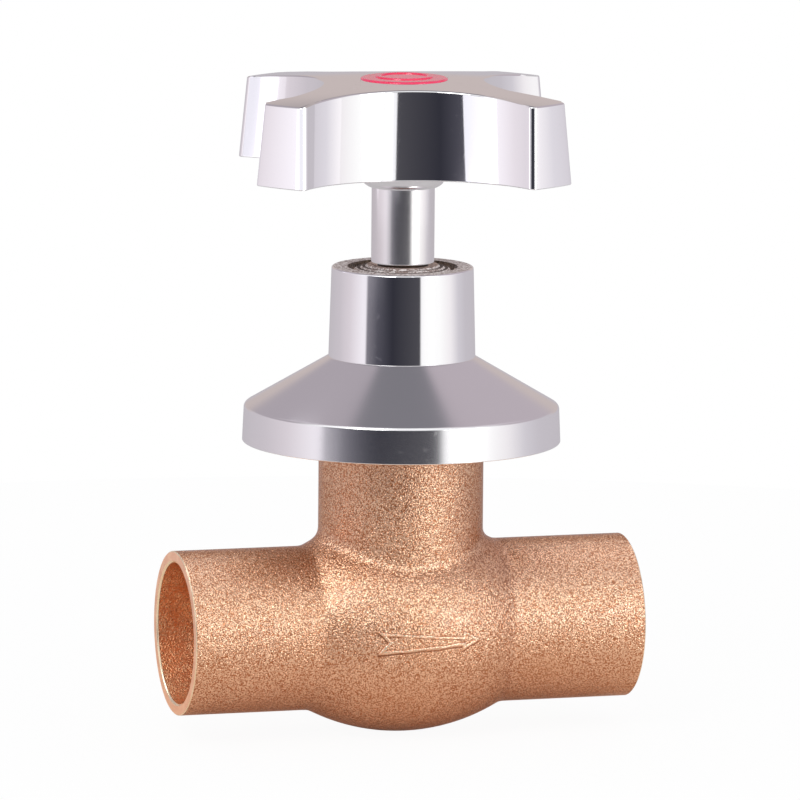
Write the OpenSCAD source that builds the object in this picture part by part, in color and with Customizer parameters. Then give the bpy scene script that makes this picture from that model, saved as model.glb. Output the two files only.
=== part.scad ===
// Globe valve with solder sockets, a rising stem, a chromed sleeve and wall flange, and a cross handle.
// The origin is the centre of the inlet mouth, the run lies along +X and the stem points up along +Z.
// Heights are measured from the axis of the run. The valve is drawn closed.

/* [Run] */
// Face to face length of the run
run_length = 73.7; // [68:0.1:84]
// Bore of the solder sockets, for tube of 22.2 mm outside diameter
socket_bore = 22.35; // [22.3:0.01:22.6]
// Depth of the solder sockets, up to the tube stop
socket_depth = 19; // [15:0.5:20]
// Wall of the solder sockets
socket_wall = 1.82; // [1.6:0.02:2.4]
// Diameter of the waterway behind the tube stop
waterway_d = 19.6; // [17:0.1:21]

/* [Body casting] */
// Diameter of the belly round the run
belly_d = 34; // [31.5:0.1:36]
// Length over which the belly stands proud of the run
belly_length = 31; // [29:0.1:36]
// Wall of the belly
body_wall = 2.8; // [2.2:0.1:3.4]
// Radius of the fillet between the belly and the sockets
belly_fillet = 1.6; // [1:0.1:5]
// Outside diameter of the neck
neck_d = 26.1; // [25.4:0.1:28]
// Height of the top of the neck
neck_top = 31.5; // [31:0.1:32.5]
// Radius of the fillet between the neck and the belly
neck_fillet = 3.2; // [2:0.1:4.5]
// Thickness of the seat web
web_t = 3; // [2.4:0.1:3.6]
// Metal between the bore of the neck and the walls of the seat web
web_clear = 0.55; // [0.3:0.05:0.8]
// Thickness of the two walls that join the seat web to the belly
web_wall_t = 2.4; // [2:0.1:3]
// How far those walls lean outwards
web_lean = 1.5; // [0:0.1:2]

/* [Seat and disc] */
// Bore of the seat ring
seat_bore = 15; // [13:0.1:15.6]
// Wall of the seat ring where it screws into the web
seat_ring_wall = 1.5; // [1.2:0.1:1.7]
// Width of the flange of the seat ring beyond its thread
seat_flange = 1; // [0.6:0.1:1.1]
// Thickness of the flange of the seat ring
seat_flange_t = 0.7; // [0.5:0.1:1]
// Width of the seat lip
seat_lip_w = 0.8; // [0.5:0.1:1]
// Height of the seat lip above its flange
seat_lip_h = 0.4; // [0.3:0.1:0.8]
// Diameter of the rubber seat washer
washer_d = 18; // [17.6:0.1:18.2]
// Thickness of the rubber seat washer
washer_t = 3; // [2.4:0.1:3.4]
// Wall of the disc holder round the washer
holder_wall = 0.7; // [0.5:0.1:0.9]
// How deep the washer sits in the disc holder
washer_inset = 2; // [1.4:0.1:2.2]
// Thickness of the disc holder above the washer
holder_base = 2.4; // [2:0.1:2.8]
// Diameter of the upper part of the disc holder
holder_head_d = 16.4; // [15.6:0.1:17.4]
// Diameter of the brass plate under the washer
plate_d = 12.4; // [10:0.1:12.8]
// Thickness of the brass plate under the washer
plate_t = 1.2; // [0.8:0.1:1.6]
// Thread diameter of the washer screw and of the handle screw
screw_d = 4; // [3:0.1:4.4]
// Head diameter of the two screws
screw_head_d = 7.4; // [6:0.1:7.8]
// Head height of the two screws
screw_head_h = 2.2; // [1.8:0.1:2.4]
// Length of the washer screw below its head
washer_screw_length = 5.8; // [5:0.1:6.2]

/* [Stem] */
// Diameter of the plain stem
stem_d = 8; // [7.4:0.1:8.4]
// Diameter of the stem thread
stem_thread_d = 12.9; // [12:0.1:13.2]
// Length of the stem thread
stem_thread_length = 17.6; // [14:0.1:18]
// Rise of the stem from closed to open
stem_lift = 6; // [4:0.1:6.3]
// Diameter of the button that carries the disc holder
button_end_d = 10.8; // [10:0.1:11]
// Thickness of that button
button_end_t = 2.3; // [2:0.1:2.4]
// Diameter of the stem above that button
stem_waist_d = 8.4; // [7:0.1:8.8]
// Length of the stem between the button and the thread
stem_waist_length = 3; // [2.9:0.1:3.4]
// Diameter of the splined end, over its corners
spline_d = 7.4; // [6.6:0.1:7.6]
// Length of the splined end
spline_length = 6.8; // [5.6:0.1:7]
// Outside diameter of the chromed tube over the stem
tube_d = 9.95; // [9.6:0.05:11]
// Clear height between the gland nut and that tube when the valve is closed
tube_gap = 0.6; // [0.4:0.1:1]

/* [Bonnet and gland] */
// Diameter of the thread between the bonnet and the neck
bonnet_thread_d = 20.8; // [20.4:0.1:21.2]
// Room between the open disc and the bonnet
disc_room = 0.8; // [0.5:0.1:1.2]
// Thickness of the bonnet gasket
gasket_t = 1; // [0.6:0.1:1.4]
// Width across the flats of the bonnet
bonnet_hex = 24; // [23:0.1:24.4]
// Height of the hexagon of the bonnet
bonnet_hex_h = 5; // [4:0.1:5.4]
// Diameter of the bonnet barrel, which carries the thread of the sleeve
barrel_d = 16.3; // [16:0.1:16.8]
// Room above the stem thread when the valve is open
thread_room = 1; // [0.6:0.1:1.4]
// Thickness of the floor under the packing
packing_floor = 2.5; // [2:0.1:3]
// Outside diameter of the packing
packing_d = 12; // [11.4:0.1:12.4]
// Number of packing rings
packing_rings_n = 3; // [2:1:4]
// Thickness of one packing ring
packing_ring_t = 1.25; // [1:0.05:1.3]
// Thickness of the washer under the packing
packing_washer_t = 0.75; // [0.5:0.05:1]
// Thickness of the gland ring on top of the packing
gland_ring_t = 1; // [0.8:0.1:1.4]
// Length of the thread of the gland nut
gland_thread = 4.5; // [3.6:0.1:5]
// Width across the flats of the gland nut
gland_hex = 13; // [12.4:0.1:13.6]
// Height of the hexagon of the gland nut
gland_hex_h = 6.5; // [5.6:0.1:6.8]
// How far the gland nut is screwed round, in degrees
gland_angle = -9; // [-30:1:30]

/* [Sleeve and wall flange] */
// Diameter of the sleeve at its top edge
sleeve_top_d = 22.4; // [21.6:0.1:23]
// Diameter of the sleeve where it meets the flange
sleeve_foot_d = 23.2; // [22.6:0.1:24.4]
// Height of the sleeve above the flange
sleeve_h = 14.3; // [13:0.1:15]
// Radius of the sleeve's top edge
sleeve_edge = 0.4; // [0.2:0.1:1.2]
// Wall of the spigot that passes through the flange
spigot_wall = 1.2; // [1:0.1:1.3]
// How far the lip of the spigot stands out under the flange
spigot_lip = 0.8; // [0.5:0.1:0.9]
// Thickness of that lip
spigot_lip_t = 0.6; // [0.5:0.1:0.8]
// How far the flange reaches down over the neck
neck_cover = 2; // [1:0.1:2.2]
// Diameter of the flange at that face
flange_d = 50.3; // [48:0.1:54]
// Diameter of the flange at the top of its rim
rim_top_d = 49.8; // [47.5:0.1:53.5]
// Height of the rim of the flange
rim_h = 5.6; // [5.2:0.1:7]
// Height of the cone of the flange
cone_h = 7.8; // [7.2:0.1:8.6]
// Wall of the flange
flange_wall = 1.6; // [1.2:0.1:1.8]
// Thickness of the flange where the sleeve clamps it
flange_top_t = 2; // [1.6:0.1:2.2]
// Radius of the edge between the cone and the rim
rim_edge = 0.6; // [0.4:0.1:2]

/* [Handle] */
// Span of the handle over two opposite lobes, at its lower edge
handle_span = 61.3; // [56:0.1:66]
// How much nearer the axis a lobe ends at the top of the handle
handle_draft = 1; // [0.4:0.1:2]
// Distance between two opposite hollows of the handle, at the top
handle_waist = 25.7; // [24.6:0.1:27]
// Width of a lobe at its end, at the top
lobe_w = 8.7; // [7.6:0.1:10]
// How much smaller the radius of a hollow is at the lower edge
hollow_draft = 0.55; // [0.2:0.05:1]
// Clear height between the gland nut and the handle when the valve is closed
handle_clear = 15.4; // [14:0.1:17]
// Height of the handle at its centre
handle_h = 14.5; // [13.8:0.1:15.5]
// How far the top falls away from its centre to the ends of the lobes
handle_crown = 1.7; // [0.6:0.1:2.2]
// Wall of the handle
handle_wall = 2.2; // [1.8:0.1:2.6]
// Thickness of the top of the handle
handle_top_t = 3.4; // [3:0.1:4]
// Outside diameter of the boss under the handle
boss_d = 16.6; // [15.6:0.1:18]
// Direction of the first lobe, in degrees from the outlet
handle_angle = -56; // [-90:1:90]
// Height of the hub below the handle
hub_drop = 2.4; // [2:0.1:3.4]
// Diameter of the collar of the hub
hub_collar_d = 12.8; // [12.5:0.1:14]
// Height of the cone under that collar
hub_flare = 1.4; // [0.6:0.1:1.8]
// Diameter of the hub inside the boss
hub_d = 12; // [11:0.1:12.2]
// Height of the hub inside the boss
hub_h = 7.1; // [6.4:0.1:7.4]
// Thickness of the washer under the handle screw
screw_washer_t = 0.8; // [0.5:0.1:1]
// Diameter of that washer
screw_washer_d = 10.8; // [9:0.1:11.4]
// Length of the handle screw below its head
handle_screw_length = 6.4; // [5.6:0.1:7]
// Diameter of the index button
index_d = 13; // [12.8:0.1:14]
// Gap round the index button
index_gap = 0.8; // [0.1:0.1:1]
// Thickness of the index button
index_t = 3.9; // [3.4:0.1:4.2]
// How far the index button stands above the top of the handle
index_proud = 0.55; // [0.1:0.05:0.8]
// Diameter of the raised ring on the index button
index_ring_d = 8.2; // [5:0.1:9.6]
// Width of that ring
index_ring_w = 1; // [0.6:0.1:1.6]
// How far that ring stands out
index_relief = 0.3; // [0.2:0.05:0.4]
// Depth of the index button's skirt
index_skirt = 1.6; // [1:0.1:2]
// Thickness of the index button's skirt
index_skirt_t = 1; // [0.7:0.1:1.4]

/* [Fits] */
// Radial clearance of turning and screwed fits
fit = 0.05; // [0.03:0.01:0.08]
// Clearance of loose parts and end float
play = 0.1; // [0.05:0.01:0.2]

/* [Hidden] */
$fn = 96;
over = 1; // how far a cut runs past the face that it opens
edge = 0.5; // radius of small turned edges
nut_face = 0.96; // width of a nut's turned face, as a share of its flats

// Run and belly, where the belly is an arc turned about the axis of the run
socket_r = socket_bore / 2;
pipe_r = socket_r + socket_wall;
waterway_r = waterway_d / 2;
run_half = run_length / 2;
belly_r = belly_d / 2;
belly_arc = (pow(belly_length / 2, 2) + pow(belly_r - pipe_r, 2)) / (2 * (belly_r - pipe_r));
belly_sink = belly_arc - belly_r;
neck_r = neck_d / 2;
bonnet_thread_r = bonnet_thread_d / 2;
neck_bore_r = bonnet_thread_r + fit;
web_inner = neck_bore_r + web_clear;
web_outer = web_inner + web_wall_t;

// Heights of the seat, the disc and the stem with the valve closed
seat_r = seat_bore / 2;
seat_ring_r = seat_r + seat_ring_wall;
seat_flange_top = web_t / 2 + seat_flange_t;
seat_top = seat_flange_top + seat_lip_h;
washer_top = seat_top + washer_t;
holder_bottom = washer_top - washer_inset;
holder_floor = washer_top + holder_base;
slot_top = holder_floor + button_end_t + 2 * play;
holder_top = slot_top + stem_waist_length - 4 * play;
holder_r = washer_d / 2 + fit + holder_wall;
button_end_bottom = holder_floor + play;
button_end_top = button_end_bottom + button_end_t;
thread_bottom = button_end_top + stem_waist_length;
thread_top = thread_bottom + stem_thread_length;

// Heights of the bonnet and the gland
bonnet_seat = neck_top + gasket_t;
bonnet_bottom = holder_top + stem_lift + disc_room;
barrel_bottom = bonnet_seat + bonnet_hex_h;
thread_bore_top = thread_top + stem_lift + thread_room;
packing_bottom = thread_bore_top + packing_floor;
packing_first = packing_bottom + packing_washer_t;
packing_top = packing_first + packing_rings_n * packing_ring_t;
gland_bottom = packing_top + gland_ring_t;
barrel_top = gland_bottom + gland_thread;
gland_top = barrel_top + gland_hex_h;
packing_r = packing_d / 2;
stem_r = stem_d / 2;

// Heights of the flange and the sleeve
flange_face = neck_top - neck_cover;
rim_top = flange_face + rim_h;
flange_top = rim_top + cone_h;
flange_ceiling = flange_top - flange_top_t;
sleeve_top = flange_top + sleeve_h;
sleeve_bore_r = barrel_d / 2 + fit;
spigot_r = sleeve_bore_r + spigot_wall;
cone_slope = cone_h / (rim_top_d / 2 - sleeve_foot_d / 2);
cone_wall_h = flange_wall * sqrt(1 + pow(cone_slope, 2));
rim_inner_r = rim_top_d / 2 - flange_wall;
ceiling_r = sleeve_foot_d / 2 - (cone_wall_h - flange_top_t) / cone_slope;

// Heights of the handle and what it holds
tube_bottom = gland_top + tube_gap;
handle_bottom = gland_top + handle_clear;
hub_bottom = handle_bottom - hub_drop;
hub_top = handle_bottom + hub_h;
stem_top = handle_bottom + spline_length;
screw_seat = hub_top + screw_washer_t;
handle_top = handle_bottom + handle_h;
index_seat = handle_top + index_proud - index_t;
index_r = index_d / 2;
pocket_r = hub_d / 2 + fit;

// Plan of the handle's top, in which a circle cut on each diagonal leaves four lobes
lobe_end = handle_span / 2;
lobe_top = lobe_end - handle_draft;
lobe_side = sqrt(pow(lobe_top, 2) - pow(lobe_w / 2, 2));
waist_r = handle_waist / 2;
hollow_at = (pow(lobe_top, 2) - pow(waist_r, 2)) / (2 * (lobe_side + lobe_w / 2 - waist_r * sqrt(2)));
hollow_r = sqrt(2) * hollow_at - waist_r;
crown_r = (pow(lobe_top, 2) + pow(handle_crown, 2)) / (2 * handle_crown);

// Reach of the lobes and radius of the hollows at a height, where both are drafted
function lobe_reach(z) = lobe_end - handle_draft * (z - handle_bottom) / handle_h;
function hollow_reach(z) = hollow_r - hollow_draft * (handle_top - z) / handle_h;

function unit(v) = v / norm(v);

// Centre of the arc of radius r that rounds the corner b between a and c
function arc_centre(a, b, c, r) =
    let (u = unit(a - b), v = unit(c - b), half = acos(u * v) / 2)
    b + unit(u + v) * r / sin(half);

// Where that arc leaves the side from b towards a
function arc_start(a, b, c, r) =
    let (u = unit(a - b), v = unit(c - b), half = acos(u * v) / 2)
    b + u * r / tan(half);

function turn(a, b, c) = cross(b - a, c - b);

// The sliver between a corner and its arc, drawn past the corner
module corner_sliver(a, b, c, r) {
    centre = arc_centre(a, b, c, r);
    difference() {
        polygon([arc_start(a, b, c, r), b + (b - centre) / 2, arc_start(c, b, a, r)]);
        translate(centre) circle(r);
    }
}

// Outline of corners given anticlockwise as [x, y, radius], with true arcs at its round corners
module outline(corners) {
    n = len(corners);
    p = [for (k = corners) [k[0], k[1]]];
    function before(i) = p[(i + n - 1) % n];
    function after(i) = p[(i + 1) % n];
    difference() {
        union() {
            polygon(p);
            for (i = [0 : n - 1])
                if (corners[i][2] > 0 && turn(before(i), p[i], after(i)) < 0)
                    corner_sliver(before(i), p[i], after(i), corners[i][2]);
        }
        for (i = [0 : n - 1])
            if (corners[i][2] > 0 && turn(before(i), p[i], after(i)) > 0)
                corner_sliver(before(i), p[i], after(i), corners[i][2]);
    }
}

module turned(corners) rotate_extrude() outline(corners);

// A ring or a disc between two heights
module ring(outer, inner, low, high) {
    difference() {
        translate([0, 0, low]) cylinder(r = outer, h = high - low);
        if (inner > 0)
            translate([0, 0, low - over]) cylinder(r = inner, h = high - low + 2 * over);
    }
}

module hexagon(flats, low, high) {
    translate([0, 0, low]) cylinder(d = flats / cos(30), h = high - low, $fn = 6);
}

// A hexagon whose upper corners are turned to a chamfer
module nut_hexagon(flats, low, high) {
    reach = flats / cos(30) / 2;
    face_r = flats / 2 * nut_face;
    intersection() {
        hexagon(flats, low, high);
        turned([[0, low - over, 0], [reach + over, low - over, 0],
            [reach + over, high - (reach + over - face_r) * tan(30), 0], [face_r, high, 0], [0, high, 0]]);
    }
}

module along_run() rotate([0, 90, 0]) children();

// Body casting

// Half outline of the belly, with its blend into the sockets, against the axis of the run
module belly_half_outline() {
    side = belly_arc + belly_fillet;
    rise = pipe_r + belly_fillet + belly_sink;
    blend_at = sqrt(pow(side, 2) - pow(rise, 2));
    meet = belly_arc / side;
    intersection() {
        translate([-belly_sink, 0]) circle(belly_arc, $fn = 256);
        translate([0, -blend_at * meet]) square([belly_r + over, 2 * blend_at * meet]);
    }
    for (end = [-1, 1])
        difference() {
            polygon([[0, end * blend_at * meet], [rise * meet - belly_sink, end * blend_at * meet],
                [pipe_r, end * blend_at], [0, end * blend_at]]);
            translate([pipe_r + belly_fillet, end * blend_at]) circle(belly_fillet);
        }
}

module run_outside() {
    along_run() {
        cylinder(r = pipe_r, h = run_length, center = true);
        rotate_extrude() belly_half_outline();
    }
}

// Fillet between the neck and the belly, as the track of a ball that rolls round the neck
fillet_steps = 56;
fillet_points = 7;
fillet_bite = 0.12; // how far the track runs into the neck and the belly

function ball_centre(angle) =
    let (reach = neck_r + neck_fillet - fillet_bite,
        x = reach * cos(angle),
        y = reach * sin(angle),
        level = sqrt(pow(belly_arc + neck_fillet - fillet_bite, 2) - x * x) - belly_sink)
    [x, y, sqrt(level * level - y * y)];

function belly_arc_centre(p) = -unit([0, p[1], p[2]]) * belly_sink;

function between(u, v, share) =
    let (all = acos(u * v)) (u * sin((1 - share) * all) + v * sin(share * all)) / sin(all);

function fillet_section(angle) =
    let (ball = ball_centre(angle),
        to_neck = [-cos(angle), -sin(angle), 0],
        to_belly = unit(belly_arc_centre(ball) - ball),
        arc = [for (i = [0 : fillet_points - 1])
            ball + neck_fillet * between(to_neck, to_belly, i / (fillet_points - 1))],
        foot = arc[fillet_points - 1])
    concat(arc, [[(neck_r - 1) * cos(angle), (neck_r - 1) * sin(angle), foot[2] - 1]]);

module neck_blend() {
    m = fillet_points + 1;
    points = [for (i = [0 : fillet_steps - 1]) each fillet_section(360 * i / fillet_steps)];
    function at(i, j) = (i % fillet_steps) * m + j % m;
    faces = [for (i = [0 : fillet_steps - 1], j = [0 : m - 1]) each
        [[at(i, j), at(i, j + 1), at(i + 1, j + 1)], [at(i, j), at(i + 1, j + 1), at(i + 1, j)]]];
    polyhedron(points, faces);
}

// Space inside the belly and the waterway up to the two tube stops
module cavity() {
    along_run() {
        cylinder(r = waterway_r, h = run_length - 2 * socket_depth + over, center = true);
        rotate_extrude()
            intersection() {
                translate([-belly_sink, 0]) circle(belly_arc - body_wall, $fn = 256);
                translate([0, -belly_length / 2])
                    square([belly_r, belly_length]);
            }
    }
}

// The web under the seat, which rises to the roof on the inlet side and falls to the floor on the other
module seat_web() {
    reach = belly_r;
    rotate([90, 0, 0])
        linear_extrude(2 * reach, center = true)
            polygon([[-web_outer - web_lean, reach], [-web_outer, -web_t / 2], [web_inner, -web_t / 2],
                [web_inner + web_lean, -reach], [web_outer + web_lean, -reach], [web_outer, web_t / 2],
                [-web_inner, web_t / 2], [-web_inner - web_lean, reach]]);
}

module valve_body() {
    color([0.75, 0.5, 0.36])
    difference() {
        union() {
            run_outside();
            cylinder(r = neck_r, h = neck_top);
            neck_blend();
        }
        difference() {
            cavity();
            seat_web();
        }
        translate([0, 0, web_t / 2]) cylinder(r = neck_bore_r, h = neck_top);
        translate([0, 0, -web_t]) cylinder(r = seat_ring_r + fit, h = 2 * web_t);
        for (side = [0, 180])
            rotate(side)
                translate([run_half - socket_depth, 0, 0])
                    along_run() cylinder(r = socket_r, h = socket_depth + over);
    }
}

module seat_ring() {
    color("goldenrod")
    turned([[seat_r, -web_t / 2, 0], [seat_ring_r, -web_t / 2, 0], [seat_ring_r, web_t / 2, 0],
        [seat_ring_r + seat_flange, web_t / 2, 0], [seat_ring_r + seat_flange, seat_flange_top, 0],
        [seat_r + seat_lip_w, seat_flange_top, 0], [seat_r + seat_lip_w, seat_top, 0],
        [seat_r, seat_top, 0]]);
}

// Bonnet and gland

module bonnet_gasket() {
    color("dimgray") ring(bonnet_hex / 2, bonnet_thread_r + fit, neck_top, bonnet_seat);
}

module bonnet() {
    color("goldenrod")
    difference() {
        union() {
            ring(bonnet_thread_r, 0, bonnet_bottom, bonnet_seat);
            nut_hexagon(bonnet_hex, bonnet_seat, barrel_bottom);
            ring(barrel_d / 2, 0, barrel_bottom - over, barrel_top);
        }
        ring(stem_thread_d / 2 + fit, 0, bonnet_bottom - over, thread_bore_top);
        ring(stem_r + fit, 0, thread_bore_top - over, packing_bottom + over);
        ring(packing_r + fit, 0, packing_bottom, barrel_top + over);
    }
}

module packing_washer() {
    color("goldenrod") ring(packing_r, stem_r + play, packing_bottom, packing_first);
}

module packing_rings() {
    color("whitesmoke")
    for (i = [0 : packing_rings_n - 1])
        translate([0, 0, packing_first + i * packing_ring_t])
            ring(packing_r, stem_r + fit, 0, packing_ring_t - fit);
}

module gland_ring() {
    color("goldenrod") ring(packing_r, stem_r + play, packing_top, gland_bottom);
}

module gland_nut() {
    color("goldenrod")
    difference() {
        union() {
            ring(packing_r, 0, gland_bottom, barrel_top + over);
            rotate(gland_angle) nut_hexagon(gland_hex, barrel_top, gland_top);
        }
        ring(stem_r + fit, 0, gland_bottom - over, gland_top + over);
    }
}

// Disc, which rises without turning

// Slot open to one side, with a round end on the axis
module side_slot(r, low, high) {
    ring(r, 0, low, high);
    translate([0, -r, low]) cube([holder_r + over, 2 * r, high - low]);
}

module disc_holder() {
    color("goldenrod")
    difference() {
        turned([[0, holder_bottom, 0], [holder_r, holder_bottom, 0], [holder_r, holder_floor, edge],
            [holder_head_d / 2, holder_floor, 0], [holder_head_d / 2, holder_top, edge],
            [0, holder_top, 0]]);
        ring(washer_d / 2 + fit, 0, holder_bottom - over, washer_top);
        ring(screw_d / 2 + fit, 0, washer_top - over, holder_floor + over);
        side_slot(button_end_d / 2 + play, holder_floor, slot_top);
        side_slot(stem_waist_d / 2 + play, slot_top - over, holder_top + over);
    }
}

module seat_washer() {
    color([0.12, 0.12, 0.12]) ring(washer_d / 2, screw_d / 2 + fit, seat_top, washer_top);
}

module washer_plate() {
    color("goldenrod") ring(plate_d / 2, screw_d / 2 + fit, seat_top - plate_t, seat_top);
}

// Slotted cheese-head screw with its head above z = 0
module slotted_screw(length) {
    slot = screw_head_d / 7;
    difference() {
        union() {
            ring(screw_d / 2, 0, -length, over);
            turned([[0, 0, 0], [screw_head_d / 2, 0, 0], [screw_head_d / 2, screw_head_h, edge],
                [0, screw_head_h, 0]]);
        }
        translate([-screw_head_d, -slot / 2, screw_head_h / 2])
            cube([2 * screw_head_d, slot, screw_head_h]);
    }
}

module washer_screw() {
    color("goldenrod")
    translate([0, 0, seat_top - plate_t]) rotate([180, 0, 0]) slotted_screw(washer_screw_length);
}

// Stem and handle, which turn and rise together

module stem() {
    thread_r = stem_thread_d / 2;
    chamfer = 0.8;
    color("goldenrod")
    difference() {
        union() {
            turned([[0, button_end_bottom, 0], [button_end_d / 2, button_end_bottom, edge],
                [button_end_d / 2, button_end_top, 0], [stem_waist_d / 2, button_end_top, 0],
                [stem_waist_d / 2, thread_bottom, 0], [thread_r - chamfer, thread_bottom, 0],
                [thread_r, thread_bottom + chamfer, 0], [thread_r, thread_top - chamfer, 0],
                [thread_r - chamfer, thread_top, 0], [stem_r, thread_top, 0],
                [stem_r, handle_bottom, 0], [0, handle_bottom, 0]]);
            translate([0, 0, handle_bottom - over])
                cylinder(d = spline_d, h = stem_top - handle_bottom + over, $fn = 12);
        }
        ring(screw_d / 2 + fit, 0, screw_seat - handle_screw_length - over, stem_top + over);
    }
}

module stem_tube() {
    color("silver") ring(tube_d / 2, stem_r + fit, tube_bottom, hub_bottom);
}

module handle_hub() {
    color("silver")
    difference() {
        turned([[0, hub_bottom, 0], [tube_d / 2 + play, hub_bottom, 0],
            [hub_collar_d / 2, hub_bottom + hub_flare, 0], [hub_collar_d / 2, handle_bottom, 0],
            [hub_d / 2, handle_bottom, 0], [hub_d / 2, hub_top, edge], [0, hub_top, 0]]);
        ring(stem_r + fit, 0, hub_bottom - over, handle_bottom);
        translate([0, 0, handle_bottom - over])
            cylinder(d = spline_d + 2 * fit, h = hub_h + 2 * over, $fn = 12);
    }
}

// The cross, smaller by an even inset: a cone for the ends of its lobes, less four cones for its hollows
module cross_body(inset, low, high) {
    difference() {
        translate([0, 0, low])
            cylinder(r1 = lobe_reach(low) - inset, r2 = lobe_reach(high) - inset, h = high - low);
        for (k = [0 : 3])
            rotate(90 * k)
                translate([hollow_at, hollow_at, low - over])
                    cylinder(r1 = hollow_reach(low - over) + inset, r2 = hollow_reach(high + over) + inset,
                        h = high - low + 2 * over);
    }
}

module handle() {
    color("silver")
    rotate(handle_angle)
    difference() {
        intersection() {
            cross_body(0, handle_bottom, handle_top + over / 2);
            translate([0, 0, handle_top - crown_r]) sphere(crown_r, $fn = 256);
        }
        difference() {
            cross_body(handle_wall, handle_bottom - over / 2, handle_top - handle_crown - handle_top_t);
            ring(boss_d / 2, 0, handle_bottom - over, handle_top);
        }
        ring(pocket_r, 0, handle_bottom - over, index_seat + over);
        ring(index_r + index_gap, 0, index_seat, handle_top + over);
    }
}

module screw_washer() {
    color("silver") ring(screw_washer_d / 2, screw_d / 2 + play, hub_top, screw_seat);
}

module handle_screw() {
    color("silver") translate([0, 0, screw_seat]) rotate(handle_angle) slotted_screw(handle_screw_length);
}

// Red cap that snaps into the handle over its screw, with a plain raised ring on its face
module index_button() {
    top = index_seat + index_t;
    skirt_r = pocket_r - play;
    face = top - index_relief;
    ring_in = index_ring_d / 2 - index_ring_w;
    ring_out = index_ring_d / 2;
    color([0.9, 0.25, 0.38])
    difference() {
        turned([[0, index_seat - index_skirt, 0], [skirt_r, index_seat - index_skirt, edge],
            [skirt_r, index_seat, 0], [index_r, index_seat, 0], [index_r, face, edge],
            [ring_out, face, 0], [ring_out, top, index_relief / 2], [ring_in, top, index_relief / 2],
            [ring_in, face, 0], [0, face, 0]]);
        ring(skirt_r - index_skirt_t, 0, index_seat - index_skirt - over, index_seat + index_t / 3);
    }
}

// Wall flange and the sleeve that carries it on the thread of the bonnet

module wall_flange() {
    foot_r = flange_d / 2;
    color("silver")
    turned([[spigot_r + play, flange_ceiling, 0], [ceiling_r, flange_ceiling, 0],
        [rim_inner_r, rim_top - cone_wall_h, 0], [foot_r - flange_wall, flange_face, 0],
        [foot_r, flange_face, edge], [rim_top_d / 2, rim_top, rim_edge], [sleeve_foot_d / 2, flange_top, 0],
        [spigot_r + play, flange_top, 0]]);
}

module sleeve() {
    lip_top = flange_ceiling - play;
    lip_bottom = lip_top - spigot_lip_t;
    color("silver")
    turned([[sleeve_bore_r, lip_bottom, 0], [spigot_r + spigot_lip, lip_bottom, 0],
        [spigot_r + spigot_lip, lip_top, 0], [spigot_r, lip_top, 0], [spigot_r, flange_top, 0],
        [sleeve_foot_d / 2, flange_top, 0], [sleeve_top_d / 2, sleeve_top, sleeve_edge],
        [sleeve_bore_r + edge, sleeve_top, 0], [sleeve_bore_r, sleeve_top - edge, 0]]);
}

module on_stem_axis() translate([run_half, 0, 0]) children();

on_stem_axis() {
    valve_body();
    seat_ring();
    bonnet_gasket();
    bonnet();
    packing_washer();
    packing_rings();
    gland_ring();
    gland_nut();
    disc_holder();
    seat_washer();
    washer_plate();
    washer_screw();
    stem();
    stem_tube();
    handle_hub();
    handle();
    screw_washer();
    handle_screw();
    index_button();
    wall_flange();
    sleeve();
}
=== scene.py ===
# %% [markdown]
# A bronze globe valve for soldered copper tube, shown closed. The water runs along X, and the stem
# stands on Z. A chromed cross handle turns the stem, and a chromed flange and sleeve cover the place
# where the stem comes through a wall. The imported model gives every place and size, so this lesson
# only adds what shows: rounded edges, a cast skin, plating, threads and studio light.

from math import atan2, cos, pi, radians, sin, sqrt

import bmesh
import bpy
from mathutils import Matrix, Vector


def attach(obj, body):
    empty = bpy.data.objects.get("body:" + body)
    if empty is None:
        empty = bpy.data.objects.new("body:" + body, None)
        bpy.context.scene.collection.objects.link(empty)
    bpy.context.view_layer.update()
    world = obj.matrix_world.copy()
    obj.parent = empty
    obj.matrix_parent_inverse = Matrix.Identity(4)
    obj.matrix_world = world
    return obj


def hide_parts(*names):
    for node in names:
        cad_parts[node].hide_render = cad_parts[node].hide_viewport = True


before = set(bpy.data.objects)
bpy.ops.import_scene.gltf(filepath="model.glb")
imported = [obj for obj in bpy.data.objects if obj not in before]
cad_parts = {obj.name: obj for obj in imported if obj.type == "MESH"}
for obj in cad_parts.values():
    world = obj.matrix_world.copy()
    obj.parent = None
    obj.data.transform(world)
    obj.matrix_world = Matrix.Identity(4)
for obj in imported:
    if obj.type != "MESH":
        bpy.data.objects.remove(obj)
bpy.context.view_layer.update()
# The valve's sizes are written in millimetres, and Blender's unit is the metre.
MM = 0.001
RUN = 73.7
STEM = Vector((RUN / 2 * MM, 0, 0))
UP = Vector((0, 0, 1))
print("solids:", len(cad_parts))

# %% [markdown]
# The photograph was taken with a long lens from a little above and to the left of square on. The
# camera could be aimed by a constraint, but a matrix built from its own three directions also takes
# the small roll of the picture, and nothing has to be solved later.

# %% Camera
AZIMUTH = radians(-16.436)
ELEVATION = radians(8.776)
ROLL = radians(0.477)
LENS = 416.5
SENSOR = 36
CAMERA_AWAY = 1461.574
AIM_ASIDE = -0.234
AIM_HEIGHT = 35.845
toward_camera = Vector((sin(AZIMUTH) * cos(ELEVATION), -cos(AZIMUTH) * cos(ELEVATION), sin(ELEVATION)))
level_right = Vector((cos(AZIMUTH), sin(AZIMUTH), 0))
level_up = toward_camera.cross(level_right)
picture_right = cos(ROLL) * level_right + sin(ROLL) * level_up
picture_up = cos(ROLL) * level_up - sin(ROLL) * level_right
aim = STEM + level_right * (AIM_ASIDE * MM) + UP * (AIM_HEIGHT * MM)
camera = bpy.data.objects.new("camera", bpy.data.cameras.new("camera"))
camera.data.lens = LENS
camera.data.sensor_width = SENSOR
camera.data.clip_start = 0.05
camera.data.clip_end = 20
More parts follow.
